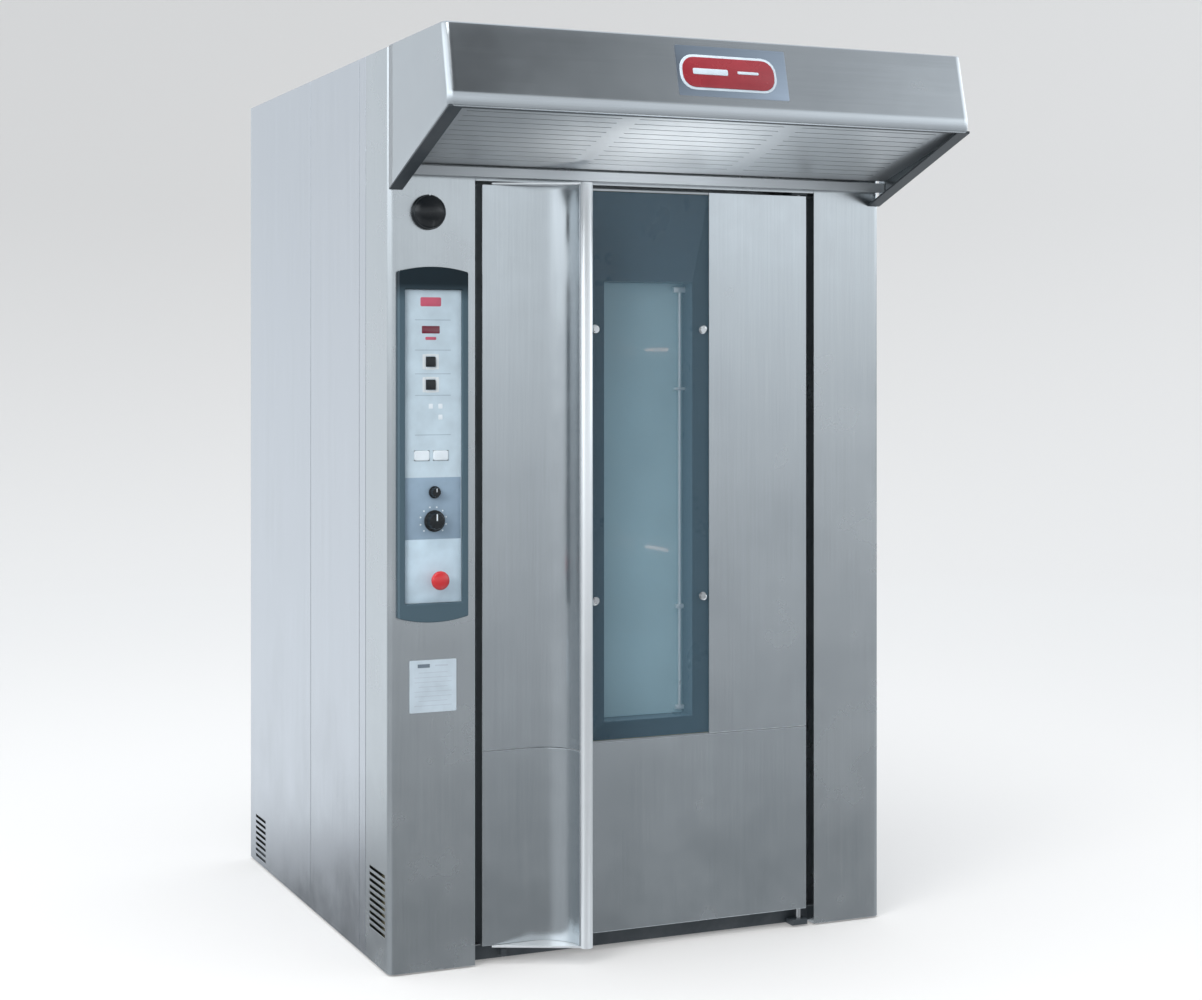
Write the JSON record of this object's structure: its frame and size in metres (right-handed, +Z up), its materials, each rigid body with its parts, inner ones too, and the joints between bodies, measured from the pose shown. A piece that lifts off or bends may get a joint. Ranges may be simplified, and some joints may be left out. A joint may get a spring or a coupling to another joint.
{
  "type": "rotary rack oven",
  "caption": "Upright rotary rack oven with a canopy hood, a control column, a hinged door with a full-height pull and a tall window, and a turning hook beam inside.",
  "frame": {"origin": "centre of the footprint, hood included, on the floor", "axes": "+Z up, +X to the user's right when facing the door, -Y towards the user: the door and the hood face -Y"},
  "size_m": [1.5, 1.938, 2.46],
  "materials": {
    "front_steel": "vertically brushed stainless steel",
    "side_steel": "satin stainless steel",
    "door_steel": "vertically brushed stainless steel",
    "pull_steel": "polished stainless steel",
    "hood_steel": "horizontally brushed stainless steel",
    "inner_steel": "plain stainless steel",
    "galvanised_sheet": "galvanised sheet",
    "frame_paint": "dark grey paint, satin",
    "foot_rubber": "matt",
    "mineral_wool": "matt mineral wool",
    "element_steel": "heat-dulled steel",
    "steam_steel": "plain stainless steel",
    "lamp_glass": "frosted",
    "motor_paint": "blue-grey machine paint",
    "wheel_steel": "plain steel",
    "shaft_steel": "ground steel",
    "cast_iron": "cast, painted",
    "belt_rubber": "matt",
    "badge_red": "gloss enamel",
    "label_white": "printed film",
    "bezel_plastic": "satin",
    "overlay_film": "satin printed film",
    "board_plastic": "matt",
    "button_black": "gloss",
    "key_white": "gloss",
    "stop_red": "gloss",
    "pane_glass": "clear, blue-grey tint",
    "border_black": "black enamel, satin",
    "seal_rubber": "matt"
  },
  "bodies": {
    "cabinet": {"feet": "foot_rubber", "base_frame": "frame_paint", "cabinet_frame": "frame_paint", "left_column": "front_steel", "right_column": "front_steel", "lintel": "front_steel", "left_panels": "side_steel", "right_panels": "side_steel", "rear_panel": "side_steel", "roof_deck": "galvanised_sheet", "insulation": "mineral_wool", "door_jamb": "inner_steel", "chamber_floor": "inner_steel", "liner_panels": "inner_steel", "chamber_ceiling": "inner_steel", "diffuser_panels": "inner_steel", "heating_elements": "element_steel", "steam_generator": "steam_steel", "chamber_lamps": "lamp_glass", "fan_plenum": "inner_steel", "fan_motor": "motor_paint", "gearmotor": "motor_paint", "drive_belt": "belt_rubber", "shaft_bearing": "cast_iron", "exhaust_pipe": "inner_steel", "hood_shell": "hood_steel", "hood_underside": "hood_steel", "hood_gutter": "frame_paint", "hood_fan_housing": "inner_steel", "badge_plate": "badge_red", "rating_plate": "label_white", "control_bezel": "bezel_plastic", "control_membrane": "overlay_film", "control_box": "board_plastic", "hinge_brackets": "frame_paint"},
    "door": {"door_box": "inner_steel", "door_insulation": "mineral_wool", "door_skin_left": "door_steel", "door_skin_front": "door_steel", "door_glass": "pane_glass", "window_frame": "border_black", "glass_bolts": "shaft_steel", "door_gasket": "seal_rubber", "door_pull": "pull_steel", "door_pivots": "shaft_steel"},
    "carousel": {"carousel_shaft": "shaft_steel", "shaft_pulley": "shaft_steel", "hook_beam": "wheel_steel"},
    "motor_drive": {"motor_pulley": "shaft_steel"},
    "fan_wheel": {"circulation_fan": "wheel_steel"},
    "hood_wheel": {"hood_fan_wheel": "wheel_steel"},
    "damper": {"exhaust_damper": "inner_steel"},
    "main_switch_knob": {"main_switch": "button_black"},
    "small_selector": {"selector_small": "button_black"},
    "large_selector": {"selector_large": "button_black"},
    "emergency_stop": {"estop_button": "stop_red"},
    "upper_button": {"button_upper": "button_black"},
    "lower_button": {"button_lower": "button_black"},
    "left_key": {"key_left": "key_white"},
    "right_key": {"key_right": "key_white"}
  },
  "joints": [
    {"name": "door_swing", "type": "hinge", "parent": "cabinet", "child": "door", "pos_m": [0.489, -0.477, 1.077], "axis": [0, 0, 1], "range_deg": [0, 120]},
    {"name": "carousel_spin", "type": "hinge", "parent": "cabinet", "child": "carousel", "pos_m": [0.0095, 0.139, 2.1], "axis": [0, 0, 1], "continuous": true},
    {"name": "motor_pulley_spin", "type": "hinge", "parent": "cabinet", "child": "motor_drive", "pos_m": [0.0095, -0.121, 2.28], "axis": [0, 0, 1], "continuous": true},
    {"name": "circulation_fan_spin", "type": "hinge", "parent": "cabinet", "child": "fan_wheel", "pos_m": [0.0095, 0.475, 2.12], "axis": [0, 0, 1], "continuous": true},
    {"name": "hood_fan_spin", "type": "hinge", "parent": "cabinet", "child": "hood_wheel", "pos_m": [0.3, -0.685, 2.33], "axis": [1, 0, 0], "continuous": true},
    {"name": "damper_turn", "type": "hinge", "parent": "cabinet", "child": "damper", "pos_m": [-0.36, -0.115, 2.242], "axis": [1, 0, 0], "range_deg": [0, 90]},
    {"name": "main_switch_turn", "type": "hinge", "parent": "cabinet", "child": "main_switch_knob", "pos_m": [-0.641, -0.505, 2.021], "axis": [0, 1, 0], "range_deg": [0, 90]},
    {"name": "small_selector_turn", "type": "hinge", "parent": "cabinet", "child": "small_selector", "pos_m": [-0.628, -0.507, 1.278], "axis": [0, 1, 0], "range_deg": [-45, 45]},
    {"name": "large_selector_turn", "type": "hinge", "parent": "cabinet", "child": "large_selector", "pos_m": [-0.63, -0.507, 1.202], "axis": [0, 1, 0], "range_deg": [-135, 135]},
    {"name": "emergency_stop_push", "type": "slide", "parent": "cabinet", "child": "emergency_stop", "axis": [0, 1, 0], "range_m": [0, 0.006]},
    {"name": "upper_button_push", "type": "slide", "parent": "cabinet", "child": "upper_button", "axis": [0, 1, 0], "range_m": [0, 0.003], "stiffness_N_per_m": 400},
    {"name": "lower_button_push", "type": "slide", "parent": "cabinet", "child": "lower_button", "axis": [0, 1, 0], "range_m": [0, 0.003], "stiffness_N_per_m": 400},
    {"name": "left_key_push", "type": "slide", "parent": "cabinet", "child": "left_key", "axis": [0, 1, 0], "range_m": [0, 0.0015], "stiffness_N_per_m": 600},
    {"name": "right_key_push", "type": "slide", "parent": "cabinet", "child": "right_key", "axis": [0, 1, 0], "range_m": [0, 0.0015], "stiffness_N_per_m": 600}
  ],
  "couplings": [
    {"joint": "motor_pulley_spin", "follows": "carousel_spin", "ratio": 3.3333}
  ]
}
